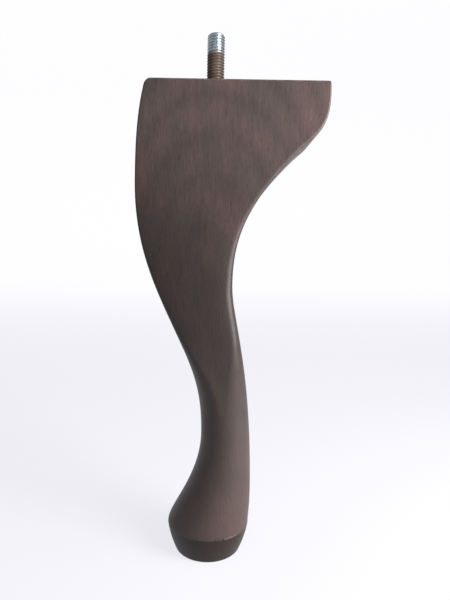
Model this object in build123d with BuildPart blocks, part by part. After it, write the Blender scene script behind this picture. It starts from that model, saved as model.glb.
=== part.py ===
from build123d import *
from math import asin, degrees
import os

# A Queen Anne furniture leg with the hanger bolt that fastens it to a frame.
#
# The wooden leg is a single piece. Its outline is sawn from a plank, so the knee and the
# wing keep the plank's flat sides, with softened edges. Below the wing the edges are
# rounded over more and more, until the ankle is round, and the pad foot is turned.
#
# Lengths are in millimetres. Z points up and the foot stands on Z = 0. The bolt and the
# turned foot share the Z axis, the knee looks toward -X and the wing toward +X.

# Leg as a whole
leg_height = 200.0
plank_thickness = 36.0
plank_depth = 50.0  # this far down from the mounting face the plank is left as it is

# Pad foot, turned about the Z axis
pad_diameter = 35.0
pad_height = 12.0  # height of the sharp ridge round the pad
sole_diameter = 27.6
sole_edge_radius = 0.6
pad_crown = 0.45  # how far the side of the pad bows out past a straight taper

# Front of the leg, as distances ahead of the bolt's axis
ankle_front = 3.7
ankle_height = 49.5
knee_reach = 32.0
knee_depth = 42.0  # below the mounting face
top_front = 28.4
top_front_lean = 0.25  # the knee falls back by this much for each millimetre it climbs
knee_corner_radius = 3.3

# Back of the leg, as distances behind the bolt's axis
heel_reach = 18.2
heel_height = 26.2
calf_reach = 8.8
calf_height = 115.5
wing_slope_reach = 36.3  # a point on the sloping underside of the wing
wing_slope_depth = 27.8  # below the mounting face
wing_slope_lean = 0.98
wing_reach = 47.9
wing_end_depth = 4.2  # height of the wing's upright end
wing_corner_radius = 1.2

# Thickness from side to side
ankle_thickness = 24.5
flat_height = 108.0  # from here up the sides are the plank's own

# Edges between the flat sides and the sawn outline
plank_edge_radius = 0.7
shin_edge_radius = 2.0
edge_height = 86.0  # below this height the edges melt into a round section
round_height = 55.0  # below this height the section is a full oval

# Hanger bolt, M8, with a coarse wood thread on its lower half
stud_diameter = 8.0
stud_length = 25.0
stud_chamfer = 1.0
neck_diameter = 7.0
neck_length = 3.0
wood_thread_diameter = 7.8
bolt_depth = 25.0  # length of bolt inside the wood
bolt_point_length = 7.0
bolt_point_diameter = 1.2

# Pilot hole for the bolt
hole_clearance = 0.15  # all round the bolt
hole_extra_depth = 1.5
drill_point_depth = 2.2

# Loft of the shaped part
section_count = 24
section_crowding = 1.5  # above 1 the sections crowd together toward the pad
flat_share = 0.02  # least share of a section's sides that is left between its corners


def stretch(start, end, start_share, end_share, start_lean=0.0, end_lean=0.0):
    """Draw one stretch of an outline as a Bezier curve between two of its points.

    A share says how long a handle is, as a part of the rise from start to end. A lean is
    how far the outline moves sideways for each millimetre that it climbs there, and a
    lean of 0 is upright.
    """
    rise = end[1] - start[1]
    first_handle = (start[0] + start_lean * start_share * rise, start[1] + start_share * rise)
    second_handle = (end[0] - end_lean * end_share * rise, end[1] - end_share * rise)
    return Bezier(start, first_handle, second_handle, end)


def smooth_step(share):
    """Rise from 0 to 1 with level ends as share goes from 0 to 1."""
    share = min(max(share, 0.0), 1.0)
    return share * share * (3.0 - 2.0 * share)


# The outline that is sawn from the plank, seen from its flat side
pad_radius = pad_diameter / 2
plank_bottom = leg_height - plank_depth
knee_height = leg_height - knee_depth
wing_slope = (wing_slope_reach, leg_height - wing_slope_depth)
wing_end = (wing_reach, leg_height - wing_end_depth)
with BuildSketch(Plane.XZ) as side_view:
    with BuildLine():
        stretch((-pad_radius, pad_height), (-ankle_front, ankle_height), 0.13, 0.5)
        stretch((-ankle_front, ankle_height), (-knee_reach, knee_height), 0.43, 0.455)
        stretch((-knee_reach, knee_height), (-top_front, leg_height), 0.37, 0.31, end_lean=top_front_lean)
        Line((-top_front, leg_height), (wing_reach, leg_height))
        Line((wing_reach, leg_height), wing_end)
        stretch(wing_slope, wing_end, 0.215, 0.69, start_lean=wing_slope_lean)
        stretch((calf_reach, calf_height), wing_slope, 0.343, 0.402, end_lean=wing_slope_lean)
        stretch((heel_reach, heel_height), (calf_reach, calf_height), 0.6, 0.171)
        stretch((pad_radius, pad_height), (heel_reach, heel_height), 0.216, 0.626)
        Line((pad_radius, pad_height), (-pad_radius, pad_height))
    make_face()
    top_corners = side_view.vertices().group_by(Axis.Y)[-1].sort_by(Axis.X)
    fillet(top_corners[0], knee_corner_radius)
    fillet(side_view.vertices().group_by(Axis.Y)[-1].sort_by(Axis.X)[-1], wing_corner_radius)

# The outline seen edge on, where the plank narrows to the ankle and swells to the pad
half_plank = plank_thickness / 2
half_ankle = ankle_thickness / 2
with BuildSketch(Plane.YZ) as edge_view:
    with BuildLine():
        stretch((pad_radius, pad_height), (half_ankle, ankle_height), 0.15, 0.51)
        stretch((half_ankle, ankle_height), (half_plank, flat_height), 0.334, 0.334)
        Line((half_plank, flat_height), (half_plank, leg_height))
        Line((half_plank, leg_height), (0, leg_height))
        Line((0, leg_height), (0, pad_height))
        Line((0, pad_height), (pad_radius, pad_height))
    make_face()


def width_at(height):
    """Return where the sawn outline's front and back lie at one height."""
    level = Edge.make_line((-leg_height, 0, height), (leg_height, 0, height))
    chord = side_view.sketch.intersect(level)[0].bounding_box()
    return chord.min.X, chord.max.X


def half_thickness_at(height):
    """Return how far the outline seen edge on reaches from the middle plane."""
    level = Edge.make_line((0, -leg_height, height), (0, leg_height, height))
    return edge_view.sketch.intersect(level)[0].bounding_box().max.Y


def rounded_section(height, front, back, half_side, corner_x, corner_y):
    """Draw a level section: four straight sides joined by quarter ovals of the given radii."""
    middle = (front + back) / 2
    across = (back - front) / 2 - corner_x
    along = half_side - corner_y
    centres = [(middle + across, along), (middle - across, along)]
    centres += [(middle - across, -along), (middle + across, -along)]
    with BuildSketch(Plane.XY.offset(height)) as outline:
        with BuildLine():
            corners = [
                EllipticalCenterArc(centre, corner_x, corner_y, 90 * number, arc_size=90)
                for number, centre in enumerate(centres)
            ]
            for corner, following in zip(corners, corners[1:] + corners[:1]):
                Line(corner @ 1, following @ 0)
        make_face()
    return outline.sketch


def oval_section(height, front, back, half_side):
    """Draw a level oval, parted where the sides and corners of the sections above end."""
    middle = (front + back) / 2
    half_width = (back - front) / 2
    side_angle = degrees(asin(flat_share))
    with BuildSketch(Plane.XY.offset(height)) as outline:
        with BuildLine():
            for axis_angle in (0, 90, 180, 270):
                parting = axis_angle + side_angle
                EllipticalCenterArc(
                    (middle, 0), half_width, half_side, axis_angle - side_angle, arc_size=2 * side_angle
                )
                EllipticalCenterArc(
                    (middle, 0), half_width, half_side, parting, arc_size=90 - 2 * side_angle
                )
        make_face()
    return outline.sketch


def shaped_section(height):
    """Draw the section of the shaped part at one height, rounder the lower it is."""
    front, back = width_at(height)
    half_side = half_thickness_at(height)
    if height <= round_height:
        return oval_section(height, front, back, half_side)
    down_the_shin = min((plank_bottom - height) / (plank_bottom - edge_height), 1.0)
    edge_radius = plank_edge_radius + (shin_edge_radius - plank_edge_radius) * down_the_shin
    roundness = smooth_step((edge_height - height) / (edge_height - round_height))
    widest_x = (1 - flat_share) * (back - front) / 2
    widest_y = (1 - flat_share) * half_side
    corner_x = edge_radius + (widest_x - edge_radius) * roundness
    corner_y = edge_radius + (widest_y - edge_radius) * roundness
    return rounded_section(height, front, back, half_side, corner_x, corner_y)


# Heights of the sections, closest together at the pad where the outline turns most
shaped_rise = plank_bottom - pad_height
section_heights = [
    pad_height + shaped_rise * (number / section_count) ** section_crowding
    for number in range(1, section_count)
]
shaped_sections = [shaped_section(height) for height in reversed(section_heights)]
ridge_section = oval_section(pad_height, -pad_radius, pad_radius, pad_radius)

hole_radius = max(wood_thread_diameter, neck_diameter) / 2 + hole_clearance
hole_depth = bolt_depth + hole_extra_depth

with BuildPart() as leg:
    # The plank's part: knee and wing between flat sides, with every sawn edge softened
    extrude(Pos(0, half_plank, 0) * side_view.sketch, amount=plank_thickness)
    split(bisect_by=Plane.XY.offset(plank_bottom), keep=Keep.TOP)
    flat_sides = leg.faces().filter_by(Axis.Y)
    cut_edges = leg.faces().sort_by(Axis.Z)[0].edges()
    fillet(flat_sides.edges() - cut_edges, plank_edge_radius)

    # The shaped part, from the plank's lower end through shin and ankle to the pad's ridge
    plank_end = leg.faces().sort_by(Axis.Z)[0]
    loft([plank_end, *shaped_sections, ridge_section])

    # The turned foot below the ridge
    with BuildSketch(Plane.XZ) as foot_profile:
        with BuildLine():
            sole_point = (sole_diameter / 2, 0)
            ridge_point = (pad_radius, pad_height)
            side_middle = (Vector(*sole_point) + Vector(*ridge_point)) / 2
            outward = Vector(pad_height, sole_diameter / 2 - pad_radius).normalized()
            ThreePointArc(sole_point, side_middle + outward * pad_crown, ridge_point)
            Line(ridge_point, (0, pad_height))
            Line((0, pad_height), (0, 0))
            Line((0, 0), sole_point)
        make_face()
        fillet(foot_profile.vertices().sort_by(Axis.X)[-2], sole_edge_radius)
    revolve(axis=Axis.Z)

    # The pilot hole, with the cone that the drill leaves
    with BuildSketch(Plane.XZ) as hole_profile:
        with BuildLine():
            Polyline(
                (0, leg_height),
                (hole_radius, leg_height),
                (hole_radius, leg_height - hole_depth),
                (0, leg_height - hole_depth - drill_point_depth),
                close=True,
            )
        make_face()
    revolve(axis=Axis.Z, mode=Mode.SUBTRACT)

# The hanger bolt: machine thread standing out of the leg, neck, wood thread and point
with BuildPart() as hanger_bolt:
    with BuildSketch(Plane.XZ) as bolt_profile:
        with BuildLine():
            Polyline(
                (0, leg_height - bolt_depth),
                (bolt_point_diameter / 2, leg_height - bolt_depth),
                (wood_thread_diameter / 2, leg_height - bolt_depth + bolt_point_length),
                (wood_thread_diameter / 2, leg_height - neck_length),
                (neck_diameter / 2, leg_height - neck_length),
                (neck_diameter / 2, leg_height),
                (stud_diameter / 2, leg_height),
                (stud_diameter / 2, leg_height + stud_length - stud_chamfer),
                (stud_diameter / 2 - stud_chamfer, leg_height + stud_length),
                (0, leg_height + stud_length),
                close=True,
            )
        make_face()
    revolve(axis=Axis.Z)

leg.part.label = "leg"
hanger_bolt.part.label = "hanger_bolt"

os.makedirs("parts", exist_ok=True)
export_step(leg.part, "parts/leg.step")
export_step(hanger_bolt.part, "parts/hanger_bolt.step")
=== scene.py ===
# %% [markdown]
# # A Queen Anne furniture leg
#
# The leg is one piece of hardwood. Its side outline is sawn from a plank, the shin and the
# ankle are rounded over, and the pad foot is turned. A steel hanger bolt stands out of its
# top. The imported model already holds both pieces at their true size, so this lesson only
# dresses them: a smooth wooden surface, a real screw thread, a stained finish and a light.

import bpy
import numpy as np
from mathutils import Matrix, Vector


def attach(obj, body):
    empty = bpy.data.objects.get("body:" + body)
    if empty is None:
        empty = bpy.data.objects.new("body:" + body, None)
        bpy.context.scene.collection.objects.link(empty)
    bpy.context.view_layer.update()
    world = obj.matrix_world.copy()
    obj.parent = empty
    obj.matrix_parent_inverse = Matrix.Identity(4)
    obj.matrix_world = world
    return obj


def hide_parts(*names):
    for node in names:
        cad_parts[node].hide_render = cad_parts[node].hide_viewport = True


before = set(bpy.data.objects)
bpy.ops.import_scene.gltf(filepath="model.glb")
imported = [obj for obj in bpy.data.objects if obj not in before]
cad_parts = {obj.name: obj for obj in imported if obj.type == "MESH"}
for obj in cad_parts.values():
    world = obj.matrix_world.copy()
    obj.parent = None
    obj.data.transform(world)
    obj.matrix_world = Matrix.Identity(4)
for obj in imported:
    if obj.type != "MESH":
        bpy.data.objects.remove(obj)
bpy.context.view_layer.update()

# %% [markdown]
# ## Lengths
#
# Blender works in metres here and a maker thinks in millimetres. One small value turns one
# into the other, so every length below can be written the way it would stand on a drawing.

# %% The leg's lengths
MM = 0.001

leg_height = 200.0
plank_thickness = 36.0
plank_bottom = 150.0
pad_radius = 17.5
pad_height = 11.0  # the sharp ridge round the pad
pad_bow = 0.45  # how far the pad's side bows out
sole_radius = 13.8
ankle_thickness = 24.5
ankle_height = 49.5
flat_height = 108.0  # from here up the sides are the plank's own
knee_corner_radius = 3.3
wing_corner_radius = 1.2
plank_edge_radius = 0.7
shin_edge_radius = 2.0
edge_height = 98.0  # the corners start to melt into an oval here
round_height = 57.0  # and have become one here
hole_radius, hole_depth, drill_point = 4.05, 26.5, 2.2  # the bolt's pilot hole
stud_length = 25.0
bolt_depth = 25.0
print("leg", leg_height, "mm high, from a", plank_thickness, "mm plank")

# %% [markdown]
# ## The sawn outline
#
# A bandsaw follows one long easy curve down the front of the leg and another down the back.
# Each curve is a chain of Bezier stretches, the kind that Blender's own curves use. A cubic
# Bezier stretch has two end points and two handles, and because the handles lie along the
# curve's direction, a stretch that ends upright joins the next one without a kink.


# %% A Bezier stretch as whole arrays
def stretch(start, end, start_share, end_share, start_lean=0.0, end_lean=0.0):
    """Points along one cubic Bezier stretch of an outline.

    With t from 0 to 1, the point is (1-t)^3 P0 + 3 (1-t)^2 t P1 + 3 (1-t) t^2 P2 + t^3 P3.
    P1 and P2 are the handles: each goes up its share of the rise, and sideways by its lean
    for each unit that it goes up.
    """
    rise = end[1] - start[1]
    p0, p3 = np.array(start, float), np.array(end, float)
    p1 = p0 + start_share * rise * np.array([start_lean, 1.0])
    p2 = p3 - end_share * rise * np.array([end_lean, 1.0])
    t = np.linspace(0.0, 1.0, 400)[:, None]
    return (1 - t) ** 3 * p0 + 3 * (1 - t) ** 2 * t * p1 + 3 * (1 - t) * t**2 * p2 + t**3 * p3


# %% The outlines in front, behind and at the side
ankle_front, knee, top_front = (-3.7, ankle_height), (-32.0, 158.0), (-28.4, leg_height)
front_line = np.concatenate([
    stretch((-pad_radius, pad_height), ankle_front, 0.13, 0.5),
    stretch(ankle_front, knee, 0.43, 0.455),
    stretch(knee, top_front, 0.37, 0.31, end_lean=0.25),
])
heel, calf = (18.2, 26.2), (8.8, 115.5)
wing_slope, wing_end, wing_lean = (36.3, 172.2), (47.9, 195.8), 0.98
end_heights = np.linspace(wing_end[1], leg_height, 61)[1:]
back_line = np.concatenate([
    stretch((pad_radius, pad_height), heel, 0.216, 0.626),
    stretch(heel, calf, 0.6, 0.171),
    stretch(calf, wing_slope, 0.343, 0.402, end_lean=wing_lean),
    stretch(wing_slope, wing_end, 0.215, 0.69, start_lean=wing_lean),
    np.stack([np.full(len(end_heights), wing_end[0]), end_heights], axis=1),
])
ankle_side, flat_side = (ankle_thickness / 2, ankle_height), (plank_thickness / 2, flat_height)
side_line = np.concatenate([
    stretch((pad_radius, pad_height), ankle_side, 0.15, 0.51),
    stretch(ankle_side, flat_side, 0.334, 0.334),
    np.array([[plank_thickness / 2, leg_height]]),
])
print("knee at", front_line[:, 0].min(), "and wing at", back_line[:, 0].max(), "mm")

# %% [markdown]
# ## Softened corners at the top
#
# Seen from the side, the knee meets the mounting face in a rounded corner and the wing in a
# smaller one. A circle that touches the top and the outline is found by sliding it inward
# until it no longer crosses the outline anywhere.


# %% Round the two top corners of the outline
def round_top_corner(line, radius, toward):
    """The outline with a circular corner under the mounting face.

    The circle's centre is radius below the top. For each point (x, z) of the outline the
    circle through it has its centre at x + toward * sqrt(radius^2 - (z - zc)^2), and the one
    that lies furthest inward touches the outline without crossing it.
    """
    zc = leg_height - radius
    near = line[line[:, 1] > zc - radius]
    reach = np.sqrt(np.clip(radius**2 - (near[:, 1] - zc) ** 2, 0.0, None))
    centres = near[:, 0] + toward * reach
    pick = np.argmax(toward * centres)
    xc, touch = centres[pick], max(near[pick, 1], zc)
    angle = np.linspace(np.arcsin((touch - zc) / radius), np.pi / 2, 60)
    corner = np.stack([xc - toward * radius * np.cos(angle), zc + radius * np.sin(angle)], axis=1)
    return np.concatenate([line[line[:, 1] < touch], corner])


front_line = round_top_corner(front_line, knee_corner_radius, 1.0)
back_line = round_top_corner(back_line, wing_corner_radius, -1.0)
print("top face from", front_line[-1, 0].round(2), "to", back_line[-1, 0].round(2), "mm")

# %% [markdown]
# ## One rule for every level section
#
# Cut the leg level at any height and the section is a rectangle with rounded corners. At the
# knee the corners are small. Going down they grow, and at the ankle they meet, so that the
# section has become an oval. One rule with changing radii is simpler than modelling a block
# and a round part and blending them, and it gives the soft change from flat to round. A
# rasp leaves the sides of the calf a little crowned, so the rule has a term for that too.


# %% Width, thickness and corner radii at each height
def smooth_step(share):
    """3 s^2 - 2 s^3 for a share s held between 0 and 1, which starts and ends level."""
    share = np.clip(share, 0.0, 1.0)
    return share * share * (3.0 - 2.0 * share)


wing_edge_start, wing_edge_drop = 189.0, 16.0  # where the edge under the wing grows
wing_edge_x, wing_edge_y = 1.3, 0.9  # and by how much
crown_start, crown_drop, side_crown = 178.0, 60.0, 1.9
top_shrink = 0.8  # how fast the corners close in the rounding under the top face


def section_sizes(height):
    """Front, back, half thickness, corner radii in front and behind, crown and melt.

    The corner radius grows evenly from the plank's to the shin's, r = r0 + (r1 - r0) s, and
    behind it is a little larger from the wing down. The crown says how far a side's borders
    stand back from its middle, and it grows down the calf by a smooth step. The melt then
    goes from 0 to 1 by another, and the radii go with it to the half width along X and the
    half thickness along Y, which is a full oval with no crown.
    """
    front = np.interp(height, front_line[:, 1], front_line[:, 0])
    back = np.interp(height, back_line[:, 1], back_line[:, 0])
    half = np.interp(height, side_line[:, 1], side_line[:, 0])
    lift = np.clip(height - (leg_height - plank_edge_radius), 0.0, plank_edge_radius)
    half = half - (plank_edge_radius - np.sqrt(plank_edge_radius**2 - lift**2))
    shin = np.clip((plank_bottom - height) / (plank_bottom - edge_height), 0.0, 1.0)
    edge = plank_edge_radius + (shin_edge_radius - plank_edge_radius) * shin
    edge = np.where(lift > 0, plank_edge_radius - lift * top_shrink, edge)
    under_wing = smooth_step((wing_edge_start - height) / wing_edge_drop)
    melt = smooth_step((edge_height - height) / (edge_height - round_height))
    width = (back - front) / 2
    crown = side_crown * smooth_step((crown_start - height) / crown_drop) * (1 - melt)
    front_x, back_x = edge + (width - edge) * melt, edge + wing_edge_x * under_wing
    front_y, back_y = edge + (half - edge) * melt, edge + wing_edge_y * under_wing
    back_x, back_y = back_x + (width - back_x) * melt, back_y + (half - back_y) * melt
    return front, back, half, front_x, front_y, back_x, back_y, crown, melt


for height in (leg_height, knee[1], flat_height, ankle_height, pad_height):
    print(height, [round(float(v), 2) for v in section_sizes(np.array(height))])

# %% [markdown]
# ## The leg as a grid
#
# The surface is a function of two parameters. The first runs round a section, and the second
# walks along the leg: from the middle of the sole out to its edge, up the turned pad, up the
# leg, in over the mounting face and down the bolt's pilot hole. Every ring has the same
# number of points, so the whole leg becomes one closed skin with no seams between its parts.
# On the plank the points crowd into the small corners, which need them for a clean edge. As
# the section melts into an oval they spread out evenly, so that no face shrinks to nothing.


# %% Points round a section
end_steps, corner_steps, side_steps = 10, 26, 24
quarter_steps = end_steps + corner_steps + side_steps
around = 4 * quarter_steps


def quarter_points(width, half, corner_x, corner_y, melt):
    """X and Y along a quarter of each section: half an end, a corner and half a side.

    A point at distance d lies at x = across + rx cos a and y = along + ry sin a on the
    corner, where a goes from 0 to a quarter turn, and keeps x or y before and after it. The
    distance d is a mix of two spacings, weighed by the melt.
    """
    across, along = width - corner_x, half - corner_y
    arc = np.pi / 2 * np.sqrt((corner_x**2 + corner_y**2) / 2)
    step = np.arange(quarter_steps + 1)
    crowded = along * np.clip(step / end_steps, 0, 1)
    crowded = crowded + arc * np.clip((step - end_steps) / corner_steps, 0, 1)
    crowded = crowded + across * np.clip((step - end_steps - corner_steps) / side_steps, 0, 1)
    even = (along + arc + across) * step / quarter_steps
    distance = crowded * (1 - melt) + even * melt
    angle = np.clip((distance - along) / arc, 0, 1) * np.pi / 2
    x = across - np.clip(distance - along - arc, 0, None) + corner_x * np.cos(angle)
    y = np.minimum(distance, along) + corner_y * np.sin(angle)
    return x, y


def ring_points(front, back, half, front_x, front_y, back_x, back_y, crown, melt):
    """X and Y round whole sections: a quarter behind, two in front and one behind again.

    Each quarter is mirrored about the section's middle, x -> -x or y -> -y, and every second
    one runs the other way, so that the points go round counter-clockwise. The crown then
    multiplies y by 1 - (crown / half) |x / width|^3, which leaves the side's middle in place.
    """
    middle, width = (front + back)[:, None] / 2, (back - front)[:, None] / 2
    sizes = half, front_x, front_y, back_x, back_y, crown, melt
    half, front_x, front_y, back_x, back_y, crown, melt = (size[:, None] for size in sizes)
    bx, by = quarter_points(width, half, back_x, back_y, melt)
    fx, fy = quarter_points(width, half, front_x, front_y, melt)
    ring_x = np.concatenate([bx[:, :-1], -fx[:, :0:-1], -fx[:, :-1], bx[:, :0:-1]], axis=1)
    ring_y = np.concatenate([by[:, :-1], fy[:, :0:-1], -fy[:, :-1], -by[:, :0:-1]], axis=1)
    return middle + ring_x, ring_y * (1 - crown / half * np.abs(ring_x / width) ** 3)


print("points round each ring:", around)

# %% [markdown]
# ## Where the rings go
#
# Rings are spent where the form turns: close together at the ridge of the pad and under the
# rounded top, further apart down the shin. The turned pad bows out a little between the sole
# and the ridge, as a lathe tool leaves it. A few nicks in the ridge are dents in the rings.


# %% Rings up the leg
close_up = 20.0  # the rings lie closer together from the ridge up to this height
corner_start = leg_height - knee_corner_radius
corner_rise = np.sin(np.linspace(0.0, np.pi / 2, 26)[1:])
body_height = np.concatenate([
    np.linspace(pad_height, close_up, 24),
    np.linspace(close_up, corner_start, 174)[1:],
    leg_height - knee_corner_radius * (1 - corner_rise),
])
body_x, body_y = ring_points(*section_sizes(body_height))
body_z = np.repeat(body_height[:, None], around, axis=1)
print("rings up the leg:", len(body_x))

# %% Rings over the sole and the pad
ridge_angle = np.arctan2(body_y[0], body_x[0])
pad_t = np.linspace(0.0, 1.0, 30)[1:-1]
pad_r = sole_radius + (pad_radius - sole_radius) * pad_t + 4 * pad_bow * pad_t * (1 - pad_t)
pad_z = pad_height * pad_t
sole_edge_x, sole_edge_z = 0.5, 0.35  # the sole's small rounded edge
edge_turn = np.linspace(0.0, np.pi / 2, 7)
edge_r = sole_radius - sole_edge_x + sole_edge_x * np.sin(edge_turn)
edge_z = sole_edge_z * (1 - np.cos(edge_turn))
flat_r = np.linspace(0.0, sole_radius - sole_edge_x, 14)[:-1]
sole_r = np.concatenate([flat_r, edge_r, pad_r])
sole_z = np.concatenate([np.zeros(len(flat_r)), edge_z, pad_z])
sole_x = sole_r[:, None] * np.cos(ridge_angle)
sole_y = sole_r[:, None] * np.sin(ridge_angle)
sole_z = np.repeat(sole_z[:, None], around, axis=1)
print("rings over the sole and the pad:", len(sole_x))

# %% Rings over the mounting face and down the pilot hole
top_x, top_y = body_x[-1], body_y[-1]
top_angle = np.arctan2(top_y, top_x)
share = np.linspace(0.0, 1.0, 16)[1:, None]
cap_x = top_x * (1 - share) + hole_radius * np.cos(top_angle) * share
cap_y = top_y * (1 - share) + hole_radius * np.sin(top_angle) * share
cap_z = np.full_like(cap_x, leg_height)
hole_r = hole_radius * np.array([1.0, 1.0, 0.5, 0.0])
hole_z = leg_height - hole_depth * np.array([0.5, 1.0, 1.0, 1.0])
hole_z = hole_z - drill_point * np.array([0.0, 0.0, 0.5, 1.0])
hole_x = hole_r[:, None] * np.cos(top_angle)
hole_y = hole_r[:, None] * np.sin(top_angle)
hole_z = np.repeat(hole_z[:, None], around, axis=1)
print("rings over the top and down the hole:", len(cap_x) + len(hole_x))

# %% Nicks in the ridge
nick_reach = 0.5  # up and down from the ridge
nicks = np.array([  # place, depth and width of each
    [-1.20, 0.50, 0.030],
    [-1.30, 0.28, 0.035],
    [-1.38, 0.34, 0.030],
    [-0.95, 0.12, 0.160],
    [0.70, 0.18, 0.050],
    [2.35, 0.22, 0.045],
])


def nicked(x, y, z):
    """The rings with small dents in the ridge.

    A dent pulls a point toward the axis by depth * exp(-((angle - place) / width)^2), and
    fades above and below the ridge as exp(-((z - ridge) / reach)^2). The table gives each
    dent's place and width as angles and its depth in millimetres.
    """
    away = np.arctan2(y, x)[..., None] - nicks[:, 0]
    depth = (nicks[:, 1] * np.exp(-((away / nicks[:, 2]) ** 2))).sum(axis=-1)
    pull = 1 - depth * np.exp(-(((z - pad_height) / nick_reach) ** 2)) / pad_radius
    return x * pull, y * pull


body_x, body_y = nicked(body_x, body_y, body_z)
sole_x, sole_y = nicked(sole_x, sole_y, sole_z)
leg_x = np.concatenate([sole_x, body_x, cap_x, hole_x])
leg_y = np.concatenate([sole_y, body_y, cap_y, hole_y])
leg_z = np.concatenate([sole_z, body_z, cap_z, hole_z])
print("rings:", len(leg_x), "points:", leg_x.size)

# %% [markdown]
# ## From grid to mesh
#
# A grid of rings becomes a mesh by joining each point to its neighbour in the ring and to
# the same point in the next ring. The first and the last ring have shrunk to a point, so
# each of them is kept as a single vertex with a fan of triangles. That closes the skin, which
# a printer or a physics engine needs, and leaves no pinched seam.


# %% Join rings into a closed skin
def skin(name, x, y, z, smooth_angle):
    """A closed mesh from rings of points, with a single vertex at each end.

    Vertex (i, j) joins (i, j+1) and (i+1, j). Faces run so that their normals point outward
    for rings that go round counter-clockwise seen from above, listed from the bottom up.
    """
    rings, count = x.shape
    points = np.stack([x, y, z], axis=2)[1:-1].reshape(-1, 3)
    ends = np.array([[x[0].mean(), y[0].mean(), z[0, 0]], [x[-1].mean(), y[-1].mean(), z[-1, 0]]])
    points = np.concatenate([points, ends]) * MM
    inner = rings - 2
    i, j = np.meshgrid(np.arange(inner - 1), np.arange(count), indexing="ij")
    k = (j + 1) % count
    low, high = i * count, (i + 1) * count
    quads = np.stack([low + j, low + k, high + k, high + j], axis=2).reshape(-1, 4)
    j = np.arange(count)
    k = (j + 1) % count
    bottom, top = inner * count, inner * count + 1
    last = (inner - 1) * count
    fans = np.concatenate([
        np.stack([np.full(count, bottom), k, j], axis=1),
        np.stack([last + j, last + k, np.full(count, top)], axis=1),
    ])
    mesh = bpy.data.meshes.new(name)
    mesh.from_pydata(points.tolist(), [], quads.tolist() + fans.tolist())
    mesh.validate()
    piece = bpy.data.objects.new(name, mesh)
    bpy.context.scene.collection.objects.link(piece)
    mesh.shade_smooth()
    mesh.set_sharp_from_angle(angle=smooth_angle)
    print(name, len(mesh.vertices), "vertices", len(mesh.polygons), "faces")
    return piece


wooden_leg = skin("wooden_leg", leg_x, leg_y, leg_z, smooth_angle=0.6)
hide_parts("leg")
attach(wooden_leg, "root")

# %% [markdown]
# ## Marks of wear
#
# Lacquer is thinnest where a corner is sharp, so the ridge of the pad, the rim of the top and
# the long edges in front rub paler first. The mesh can carry that as a number at each vertex,
# and the material reads it. It is worked out from the form itself, so it follows the edges
# wherever they run. The ridge has had most of its knocks near one angle, so its rubbing is
# strongest there.

# %% How exposed each point is
edge_wear, edge_start, edge_rise = 0.5, 62.0, 40.0  # the long edges, from here up
rim_wear, rim_start, rim_rise = 0.9, 198.8, 0.7  # the rounding under the top
face_start, face_rise = 199.7, 0.28  # and the flat face, where it ends
ridge_wear, ridge_spread = 0.35, 0.45
knock_wear, knock_angle, knock_spread = 1.05, -0.95, 0.30

point_z = leg_z[1:-1].reshape(-1)
ring_number = np.repeat(np.arange(1, len(leg_x) - 1), around)
first_body = len(sole_x)
is_body = (ring_number >= first_body) & (ring_number < first_body + len(body_x))
column = np.tile(np.arange(around), len(leg_x) - 2)
into_corner = np.clip((np.arange(quarter_steps) - end_steps) / corner_steps, 0, 1)
quarter_flag = np.sin(np.pi * into_corner)
corner_flag = np.concatenate([quarter_flag, np.roll(quarter_flag[::-1], 1)] * 2)
in_front = (column >= around // 4) & (column < 3 * around // 4)
edge_strength = edge_wear * smooth_step((point_z - edge_start) / edge_rise)
exposed = np.where(is_body & in_front, corner_flag[column] * edge_strength, 0.0)
print("points on the long edges:", int((exposed > edge_wear / 2).sum()))

# %% Wear round the top and the ridge, stored on the mesh
into_rounding = smooth_step((point_z - rim_start) / rim_rise)
onto_face = smooth_step((point_z - face_start) / face_rise)
exposed = np.maximum(exposed, rim_wear * into_rounding * (1 - onto_face))
point_angle = np.arctan2(leg_y[1:-1], leg_x[1:-1]).reshape(-1)
knocks = knock_wear * np.exp(-(((point_angle - knock_angle) / knock_spread) ** 2))
ridge = (ridge_wear + knocks) * np.exp(-(((point_z - pad_height) / ridge_spread) ** 2))
exposed = np.concatenate([np.maximum(exposed, ridge), [0.0, 0.0]])
wear = wooden_leg.data.attributes.new("exposed", "FLOAT", "POINT")
wear.data.foreach_set("value", exposed.astype(np.float32))
print("exposed points:", int((exposed > 0.5).sum()))

# %% [markdown]
# ## The hanger bolt
#
# A screw thread is a ridge that climbs as it goes round. On a grid of rings that is one
# formula: the radius depends on the height minus the climb of one turn. The ridge has steep
# flanks with a flat crest and a flat root, so the radius is a trapezoid of that number. The
# rings lie twelve to a turn on the stud and fourteen to a turn in the wood. A helix swept
# as a separate body would need a boolean; this way the shank is one skin.


# %% The radius of a threaded shank
def thread_radius(phase, crest, root, crest_share, root_share):
    """Radius over one turn of thread, where phase counts turns.

    With d the distance from the crest's middle, from 0 to half a turn, the radius falls
    evenly from crest to root between d = crest_share / 2 and d = 1/2 - root_share / 2.
    """
    d = np.abs((phase + 0.5) % 1.0 - 0.5)
    fall = (d - crest_share / 2) / (0.5 - root_share / 2 - crest_share / 2)
    return crest + (root - crest) * np.clip(fall, 0.0, 1.0)


# %% The machine thread on the stud
bolt_points = 72  # round each ring
stud_pitch, wood_pitch = 1.25, 2.75
neck_radius, neck_length = 3.3, 3.0
bolt_top, bolt_bottom = leg_height + stud_length, leg_height - bolt_depth
turn = np.linspace(0.0, 2 * np.pi, bolt_points, endpoint=False)

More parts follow.
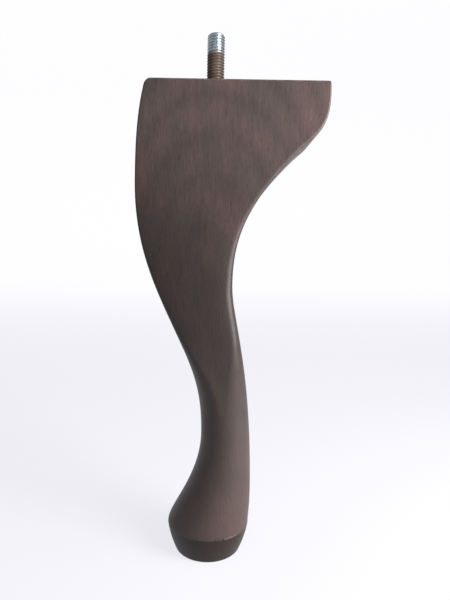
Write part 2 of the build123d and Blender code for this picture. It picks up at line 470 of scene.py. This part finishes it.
seam = 0.02  # between the neck's last ring and the stud's first
tip_radius = 3.0
turns = round(stud_length / stud_pitch)
stud_z = np.linspace(leg_height + seam, bolt_top, turns * 12 + 1)
phase = stud_z[:, None] / stud_pitch - turn / (2 * np.pi)
stud_r = thread_radius(phase, crest=3.88, root=3.20, crest_share=0.10, root_share=0.22)
stud_r = np.minimum(stud_r, tip_radius + (bolt_top - stud_z)[:, None])
print("turns on the stud:", turns)

# %% The wood thread, its point and the neck
wood_radius, point_radius, point_length = 3.9, 0.6, 7.0
root_part, fade_length = 0.72, 1.5  # the root's part of the crest, the fade into the neck
turns = round((bolt_depth - neck_length) / wood_pitch)
wood_z = np.linspace(bolt_bottom, leg_height - neck_length, turns * 14 + 1)
phase = wood_z[:, None] / wood_pitch - turn / (2 * np.pi)
rise = np.clip((wood_z - bolt_bottom) / point_length, 0.0, 1.0)[:, None]
crest_r = point_radius + (wood_radius - point_radius) * rise
wood_r = thread_radius(phase, crest_r, crest_r * root_part, crest_share=0.05, root_share=0.45)
neck_fade = np.clip((leg_height - neck_length - wood_z) / fade_length, 0.0, 1.0)[:, None]
wood_r = neck_radius + (wood_r - neck_radius) * np.where(rise < 1.0, 1.0, neck_fade)
neck_z = leg_height - np.array([2.6, 0.3, 0.0])
neck_r = np.full((len(neck_z), bolt_points), neck_radius)
print("turns in the wood:", turns)

# %% The bolt as one skin
end_r = np.zeros((1, bolt_points))
bolt_r = np.concatenate([end_r, wood_r, neck_r, stud_r, end_r])
bolt_z = np.concatenate([[bolt_bottom], wood_z, neck_z, stud_z, [bolt_top]])
bolt_z = np.repeat(bolt_z[:, None], bolt_points, axis=1)
bolt_x, bolt_y = bolt_r * np.cos(turn), bolt_r * np.sin(turn)
bolt = skin("threaded_bolt", bolt_x, bolt_y, bolt_z, smooth_angle=0.9)
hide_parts("hanger_bolt")
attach(bolt, "root")

# %% [markdown]
# ## Building a finish from nodes
#
# A finish is a small network of nodes. Writing each link by hand hides the idea, so one
# helper adds a node, sets its values and joins its inputs in a single call. The smaller
# helpers after it are the few sums that both finishes use again and again.


# %% A helper that adds a node and wires it
def new_finish(name):
    """A node material with its output, ready to be wired."""
    material = bpy.data.materials.new(name)
    material.use_nodes = True
    tree = material.node_tree
    tree.nodes.clear()
    output = tree.nodes.new("ShaderNodeOutputMaterial")
    return material, tree, output


def node(tree, kind, settings=(), **inputs):
    """Adds a node. A socket given as an input is linked, and any other value is set.

    An input goes by its label, or as i0, i1 and so on by its number.
    """
    made = tree.nodes.new("ShaderNode" + kind)
    for key, value in dict(settings).items():
        setattr(made, key, value)
    for key, value in inputs.items():
        numbered = key[0] == "i" and key[1:].isdigit()
        socket = made.inputs[int(key[1:]) if numbered else key.replace("_", " ")]
        if isinstance(value, bpy.types.NodeSocket):
            tree.links.new(value, socket)
        else:
            socket.default_value = value
    return made


# %% Helpers for values and colours
def spread(tree, value, start, end, first=0.0, last=1.0, kind="LINEAR"):
    """Maps start..end evenly, or with level ends, to first..last, and holds it outside."""
    return node(
        tree, "MapRange", {"interpolation_type": kind},
        Value=value, From_Min=start, From_Max=end, To_Min=first, To_Max=last,
    ).outputs[0]


def weighed(tree, value, weight, added):
    """value * weight + added."""
    return node(tree, "Math", {"operation": "MULTIPLY_ADD"}, i0=value, i1=weight, i2=added).outputs[0]


def ramp(tree, fac, stops):
    """A colour ramp through (position, colour) stops."""
    made = node(tree, "ValToRGB", Fac=fac)
    elements = made.color_ramp.elements
    while len(elements) < len(stops):
        elements.new(0.5)
    for element, (position, colour) in zip(elements, stops):
        element.position = position
        element.color = (*colour, 1.0)
    return made.outputs["Color"]


def mix(tree, fac, a, b, blend="MIX"):
    """One colour mixed over another."""
    made = node(tree, "Mix", {"data_type": "RGBA", "blend_type": blend}, i0=fac, i6=a, i7=b)
    return made.outputs[2]


def tone(tree, fac, under, weight, stops):
    """Multiplies a colour by a ramp of tones, where weight says how far."""
    return mix(tree, weight, under, ramp(tree, fac, stops), "MULTIPLY")


print("helpers:", [f.__name__ for f in (new_finish, node, spread, weighed, ramp, mix, tone)])

# %% [markdown]
# ## Stained wood
#
# The leg is a plain pale hardwood under a dark walnut stain and a satin lacquer. Wood is
# solid all through, so its pattern is best made in space and not painted on the skin. Growth
# rings are circles about a tilted axis: where the flat side cuts them they show as a faint
# arch near the top and as upright lines lower down. Pores are fine streaks, made from noise
# that is stretched up the leg, and broader streaks show where the stain soaked in deeper.

# %% Growth rings
wood, tree, output = new_finish("stained_wood")
place = node(tree, "TexCoord").outputs["Object"]
ring_tilt = 0.47
ring_scale = 36.0
wave_length = np.pi / 10  # Blender's wave texture repeats after this, at a scale of 1

warp = node(tree, "TexNoise", Vector=place, Scale=26.0, Detail=2.0, Roughness=0.5)
shift = node(
    tree, "VectorMath", {"operation": "MULTIPLY_ADD"},
    i0=warp.outputs["Color"], i1=(0.008, 0.008, 0.004), i2=place,
).outputs[0]
log = node(
    tree, "Mapping", {"vector_type": "POINT"},
    Vector=shift, Location=(-0.004, -0.033, 0.0), Rotation=(-ring_tilt, 0.0, 0.0),
)
rings = node(
    tree, "TexWave", {"wave_type": "RINGS", "rings_direction": "Z", "wave_profile": "SIN"},
    Vector=log.outputs[0], Scale=ring_scale, Distortion=3.5, Detail=1.0, Detail_Scale=0.5,
)
print("growth rings", round(wave_length / ring_scale / MM, 1), "mm apart")


# %% Streaks, flecks and patches
def drawn_out(tree, way, squeeze, scale, detail, roughness):
    """Noise whose height is squeezed before it is looked up, which draws it out up the leg."""
    squeezed = node(tree, "Mapping", Vector=way, Scale=(1.0, 1.0, squeeze)).outputs[0]
    noise = node(
        tree, "TexNoise", Vector=squeezed, Scale=scale, Detail=detail, Roughness=roughness
    )
    return noise.outputs["Fac"]


streaks = drawn_out(tree, shift, 0.12, scale=1500.0, detail=3.0, roughness=0.6)
bands = drawn_out(tree, shift, 0.10, scale=420.0, detail=2.0, roughness=0.55)
flecks = drawn_out(tree, place, 0.24, scale=1300.0, detail=1.0, roughness=0.5)
patches = drawn_out(tree, place, 0.5, scale=48.0, detail=3.0, roughness=0.6)
print("wood patterns:", [n.name for n in tree.nodes if n.name.startswith(("Noise", "Wave"))])

# %% [markdown]
# ## Colour of the wood
#
# The stain's colour moves between an olive brown and a redder one in soft patches. A tone along
# the leg is partly uneven stain and partly painted light: the shin darkest, the knee, the wing
# side and the foot lighter, as the window light falls. The turned side of the pad is darker
# again, partly end grain drinking in the stain and partly painted shade under the ridge. On top
# of that lie the rings, the streaks and the small flecks, each as a tone that multiplies the
# colour under it.


# %% Stain, with painted light along the leg and painted shade on the pad's side
stain_and_painted_light = ramp(tree, patches, [
    (0.32, (0.070, 0.055, 0.048)),
    (0.50, (0.084, 0.060, 0.054)),
    (0.66, (0.106, 0.068, 0.061)),
])
along = node(tree, "SeparateXYZ", Vector=shift)
# Painted light, partly stain: lighter toward the top, the wing side and the foot, darkest down the
# shin.
level = spread(tree, weighed(tree, along.outputs["X"], 0.4, along.outputs["Z"]), 0.0, 0.2)
stain_and_painted_light = tone(tree, level, stain_and_painted_light, 1.0, [
    (0.14, (1.10, 1.10, 1.10)),
    (0.32, (0.96, 0.96, 0.96)),
    (0.48, (0.56, 0.58, 0.56)),
    (0.62, (0.55, 0.56, 0.55)),
    (0.76, (0.90, 0.90, 0.91)),
    (0.92, (1.32, 1.31, 1.33)),
])
upright = node(tree, "SeparateXYZ", Vector=place)
# Painted shade, partly end grain: the pad's turned side below the ridge is made darker.
above_pad = spread(tree, upright.outputs["Z"], 0.0107, 0.0112)
stain_and_painted_light = tone(tree, above_pad, stain_and_painted_light, 1.0, [(0.0, (0.34, 0.31, 0.26)), (1.0, (1.0, 1.0, 1.0))])
print("nodes for the stain:", len(tree.nodes))

# %% Grain over the stain, fainter toward the foot
grain = spread(tree, along.outputs["Z"], 0.05, 0.14, 0.40, 1.0)
ring_fade = spread(tree, along.outputs["Z"], 0.10, 0.18, 0.20, 0.75)
stain_and_painted_light = tone(tree, rings.outputs["Fac"], stain_and_painted_light, ring_fade, [
    (0.00, (0.84, 0.85, 0.86)),
    (0.30, (0.95, 0.95, 0.96)),
    (0.60, (1.00, 1.00, 1.00)),
    (1.00, (1.06, 1.04, 1.03)),
])
stain_and_painted_light = tone(tree, bands, stain_and_painted_light, grain, [
    (0.34, (0.94, 0.95, 0.96)),
    (0.52, (1.00, 1.00, 1.00)),
    (0.68, (1.09, 1.06, 1.05)),
])
stain_and_painted_light = tone(tree, streaks, stain_and_painted_light, grain, [
    (0.33, (0.88, 0.89, 0.90)),
    (0.50, (1.00, 1.00, 1.00)),
    (0.67, (1.13, 1.09, 1.08)),
])
stain_and_painted_light = tone(tree, flecks, stain_and_painted_light, 1.0, [
    (0.26, (0.80, 0.80, 0.81)),
    (0.38, (1.00, 1.00, 1.00)),
    (0.66, (1.00, 1.00, 1.00)),
    (0.78, (1.21, 1.15, 1.13)),
])
print("nodes with the grain:", len(tree.nodes))

# %% Pale wood where the lacquer is worn through
bare = node(tree, "Attribute", {"attribute_name": "exposed", "attribute_type": "GEOMETRY"})
chips = node(tree, "TexNoise", Vector=place, Scale=520.0, Detail=3.0, Roughness=0.6)
worn = node(
    tree, "Math", {"operation": "MULTIPLY", "use_clamp": True},
    i0=bare.outputs["Fac"], i1=chips.outputs["Fac"],
).outputs[0]
worn = spread(tree, worn, 0.30, 0.66, 0.0, 0.75, kind="SMOOTHSTEP")
colour = mix(tree, worn, stain_and_painted_light, (0.30, 0.21, 0.185, 1.0))
print("nodes with the wear:", len(tree.nodes))

# %% [markdown]
# ## Gloss and pores
#
# The lacquer is a thin satin film. A rough layer under a smoother clear coat gives both of
# its looks: a soft sheen on the flat sides, and a narrow bright rim where a round part turns
# away from the eye. The pores print through the film as a very fine bump.

# %% The wood's surface
relief = weighed(tree, streaks, 0.7, flecks)
bump = node(tree, "Bump", Strength=0.16, Distance=0.0004, Height=relief)
rough = spread(tree, streaks, 0.3, 0.7, 0.54, 0.42)
lacquer = node(
    tree, "BsdfPrincipled", Base_Color=colour, Roughness=rough, Normal=bump.outputs[0],
    Specular_IOR_Level=0.25, Coat_Weight=0.45, Coat_Roughness=0.28,
)
tree.links.new(lacquer.outputs[0], output.inputs["Surface"])
wooden_leg.data.materials.append(wood)
print("wood finish on", wooden_leg.name)

# %% [markdown]
# ## Zinc and stain on the bolt
#
# The bolt is zinc plated, bright and slightly blue, with painted shade on the side toward the wing.
# The leg was stained with the bolt already in it, so the threads nearest the wood are brown.
# The change follows the height on the bolt, with some noise so that it has no ruled edge.

# %% The bolt's finish
zinc, tree, output = new_finish("zinc_steel")
place = node(tree, "TexCoord").outputs["Object"]
up = node(tree, "SeparateXYZ", Vector=place)
ragged = node(tree, "TexNoise", Vector=place, Scale=420.0, Detail=2.0)
level = weighed(tree, ragged.outputs["Fac"], 0.0026, up.outputs["Z"])
soiled = spread(tree, level, 0.2168, 0.2188, 1.0, 0.0, kind="SMOOTHSTEP")
dull = node(tree, "TexNoise", Vector=place, Scale=700.0, Detail=3.0).outputs["Fac"]
bright = ramp(tree, dull, [(0.3, (0.55, 0.63, 0.67)), (0.7, (0.82, 0.90, 0.95))])
brown = ramp(tree, dull, [(0.3, (0.17, 0.125, 0.098)), (0.7, (0.30, 0.220, 0.180))])
metal = mix(tree, soiled, bright, brown)
# Painted shade: the half of the bolt toward the wing is made darker.
painted_shade_toward_wing = spread(tree, up.outputs["X"], 0.0010, 0.0026)
metal = tone(tree, painted_shade_toward_wing, metal, 1.0, [(0.0, (1.0, 1.0, 1.0)), (1.0, (0.68, 0.69, 0.72))])
metal_rough = spread(tree, soiled, 0.0, 1.0, 0.38, 0.45)
metallic = spread(tree, soiled, 0.0, 1.0, 1.0, 0.25)
plating = node(
    tree, "BsdfPrincipled", Base_Color=metal, Roughness=metal_rough, Metallic=metallic
)
tree.links.new(plating.outputs[0], output.inputs["Surface"])
bolt.data.materials.append(zinc)
print("bolt finish on", bolt.name)

# %% [markdown]
# ## Floor and backdrop
#
# A sheet of pale paper that curves up behind the leg hides the line where floor and wall
# would meet. It is one strip along a path: flat, a quarter circle, then upright.


# %% A curved paper sweep
def sweep(width, near, far, bend, top):
    """A strip x in [-width, width] along a path: flat, a quarter circle, then upright.

    On the quarter circle y = far + bend sin a and z = bend (1 - cos a), for a up to pi / 2.
    """
    turn = np.linspace(0.0, np.pi / 2, 24)
    path_y = np.concatenate([[near], far + bend * np.sin(turn), [far + bend]])
    path_z = np.concatenate([[0.0], bend * (1 - np.cos(turn)), [top]])
    x = np.repeat([[-width, width]], len(path_y), axis=0)
    y, z = np.repeat(path_y[:, None], 2, axis=1), np.repeat(path_z[:, None], 2, axis=1)
    points = np.stack([x, y, z], axis=2).reshape(-1, 3)
    i = np.arange(len(path_y) - 1) * 2
    faces = np.stack([i, i + 1, i + 3, i + 2], axis=1)
    mesh = bpy.data.meshes.new("paper")
    mesh.from_pydata(points.tolist(), [], faces.tolist())
    mesh.shade_smooth()
    sheet = bpy.data.objects.new("paper", mesh)
    bpy.context.scene.collection.objects.link(sheet)
    return sheet


paper = sweep(width=3.0, near=-3.0, far=1.2, bend=0.8, top=3.0)
print("paper", len(paper.data.polygons), "faces")

# %% [markdown]
# ## The paper's glow
#
# Photographers light such paper until it is nearly white. Here it glows by itself for the
# eye, and less in the lacquer's reflections, while for soft light it is a plain matt grey,
# so that the glow doesn't light the leg.

# %% The paper's finish
pale, tree, output = new_finish("pale_paper")
seen = node(tree, "LightPath")
in_gloss = node(
    tree, "Math", {"operation": "MULTIPLY"}, i0=seen.outputs["Is Glossy Ray"], i1=0.45
)
direct = node(
    tree, "Math", {"operation": "MAXIMUM"},
    i0=seen.outputs["Is Camera Ray"], i1=in_gloss.outputs[0],
)
matt = node(tree, "BsdfDiffuse", Color=(0.30, 0.30, 0.31, 1.0))
shaded = node(tree, "BsdfDiffuse", Color=(0.22, 0.22, 0.23, 1.0))
up = node(tree, "SeparateXYZ", Vector=node(tree, "TexCoord").outputs["Object"])
away = node(tree, "Math", i0=up.outputs["Y"], i1=up.outputs["Z"]).outputs[0]
away = spread(tree, away, 0.0, 1.4, kind="SMOOTHSTEP")
glow_colour = mix(tree, away, (0.76, 0.76, 0.80, 1.0), (0.93, 0.93, 0.97, 1.0))
glow = node(tree, "Emission", Color=glow_colour, Strength=1.0)
lifted = node(tree, "AddShader", i0=shaded.outputs[0], i1=glow.outputs[0])
paper_mix = node(
    tree, "MixShader", i0=direct.outputs[0], i1=matt.outputs[0], i2=lifted.outputs[0]
)
tree.links.new(paper_mix.outputs[0], output.inputs["Surface"])
paper.data.materials.append(pale)
print("paper finish on", paper.name)

# %% [markdown]
# ## Light
#
# Soft daylight comes from the right, in front of the leg, as from a tall window. Two wide
# area lamps give that, one above the other, and a pale world fills the shadows so that no
# side goes black.


# %% Two windows and the sky
def window(name, place, target, size, power, colour):
    """A square area lamp at a place, facing a target."""
    lamp = bpy.data.lights.new(name, "AREA")
    lamp.size, lamp.energy, lamp.color = size, power, colour
    made = bpy.data.objects.new(name, lamp)
    made.location = place
    made.rotation_euler = (Vector(target) - Vector(place)).to_track_quat("-Z", "Y").to_euler()
    bpy.context.scene.collection.objects.link(made)


daylight = (1.0, 0.99, 0.99)
window("window", (0.30, -0.20, 0.24), (0.0, 0.0, 0.12), 0.20, power=1.75, colour=daylight)
window("low window", (0.34, -0.09, 0.08), (0.0, 0.0, 0.06), 0.20, power=0.65, colour=daylight)
sky = bpy.data.worlds.new("sky")
bpy.context.scene.world = sky
sky.use_nodes = True
background = sky.node_tree.nodes["Background"].inputs
background["Color"].default_value = (0.95, 0.96, 1.0, 1.0)
background["Strength"].default_value = 0.34

# %% [markdown]
# ## Camera
#
# The camera stands level with the upper shin, close to the leg, so nearer parts look a
# little larger. The picture is turned by one degree, and the lens is shifted down so that
# the whole leg is in the frame while upright lines stay upright.

# %% The camera
lens = bpy.data.cameras.new("camera")
lens.lens, lens.sensor_width, lens.sensor_fit = 30.6, 36.0, "AUTO"
lens.shift_y = -0.0907  # as a part of the picture's longer side
lens.clip_start, lens.clip_end = 0.01, 20.0
turned = -0.0173  # about one degree
camera = bpy.data.objects.new("camera", lens)
camera.location = (0.00544, -0.2257, 0.1319)
camera.rotation_euler = (np.pi / 2, turned, 0.0)
bpy.context.scene.collection.objects.link(camera)
bpy.context.scene.camera = camera
bpy.context.scene.view_settings.view_transform = "Standard"
print("camera at", tuple(round(v, 4) for v in camera.location))
